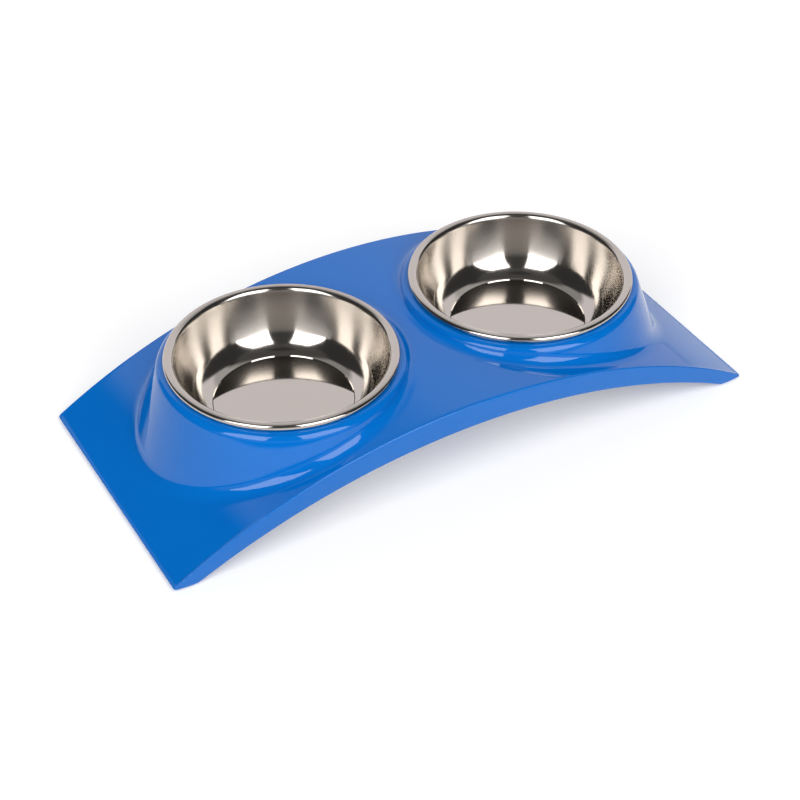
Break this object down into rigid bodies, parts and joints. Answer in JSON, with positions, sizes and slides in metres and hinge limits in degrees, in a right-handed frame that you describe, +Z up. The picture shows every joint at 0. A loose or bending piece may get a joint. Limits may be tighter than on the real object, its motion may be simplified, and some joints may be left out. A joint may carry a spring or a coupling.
{
  "type": "double pet bowl",
  "caption": "Arched one-piece moulded stand whose raised round collars hold a pair of lift-out drawn steel bowls at a pet's feeding height.",
  "frame": {"origin": "on the floor, under the middle of the stand", "axes": "+X along the stand from the left bowl to the right bowl, +Y from the front to the back, +Z up"},
  "size_m": [0.393, 0.178, 0.069],
  "materials": {
    "stand": "glossy moulded melamine, blue",
    "bowl": "stainless steel, polished inside, with a finely brushed flat rim",
    "foot": "matt dark rubber"
  },
  "bodies": {
    "stand": {"stand": "stand", "foot_front_left": "foot", "foot_front_right": "foot", "foot_back_left": "foot", "foot_back_right": "foot"},
    "bowl_left": {"bowl_left": "bowl"},
    "bowl_right": {"bowl_right": "bowl"}
  },
  "joints": [
    {"name": "bowl_left_lift", "type": "slide", "parent": "stand", "child": "bowl_left", "axis": [0, 0, 1], "range_m": [0, 0.06]},
    {"name": "bowl_right_lift", "type": "slide", "parent": "stand", "child": "bowl_right", "axis": [0, 0, 1], "range_m": [0, 0.06]}
  ]
}
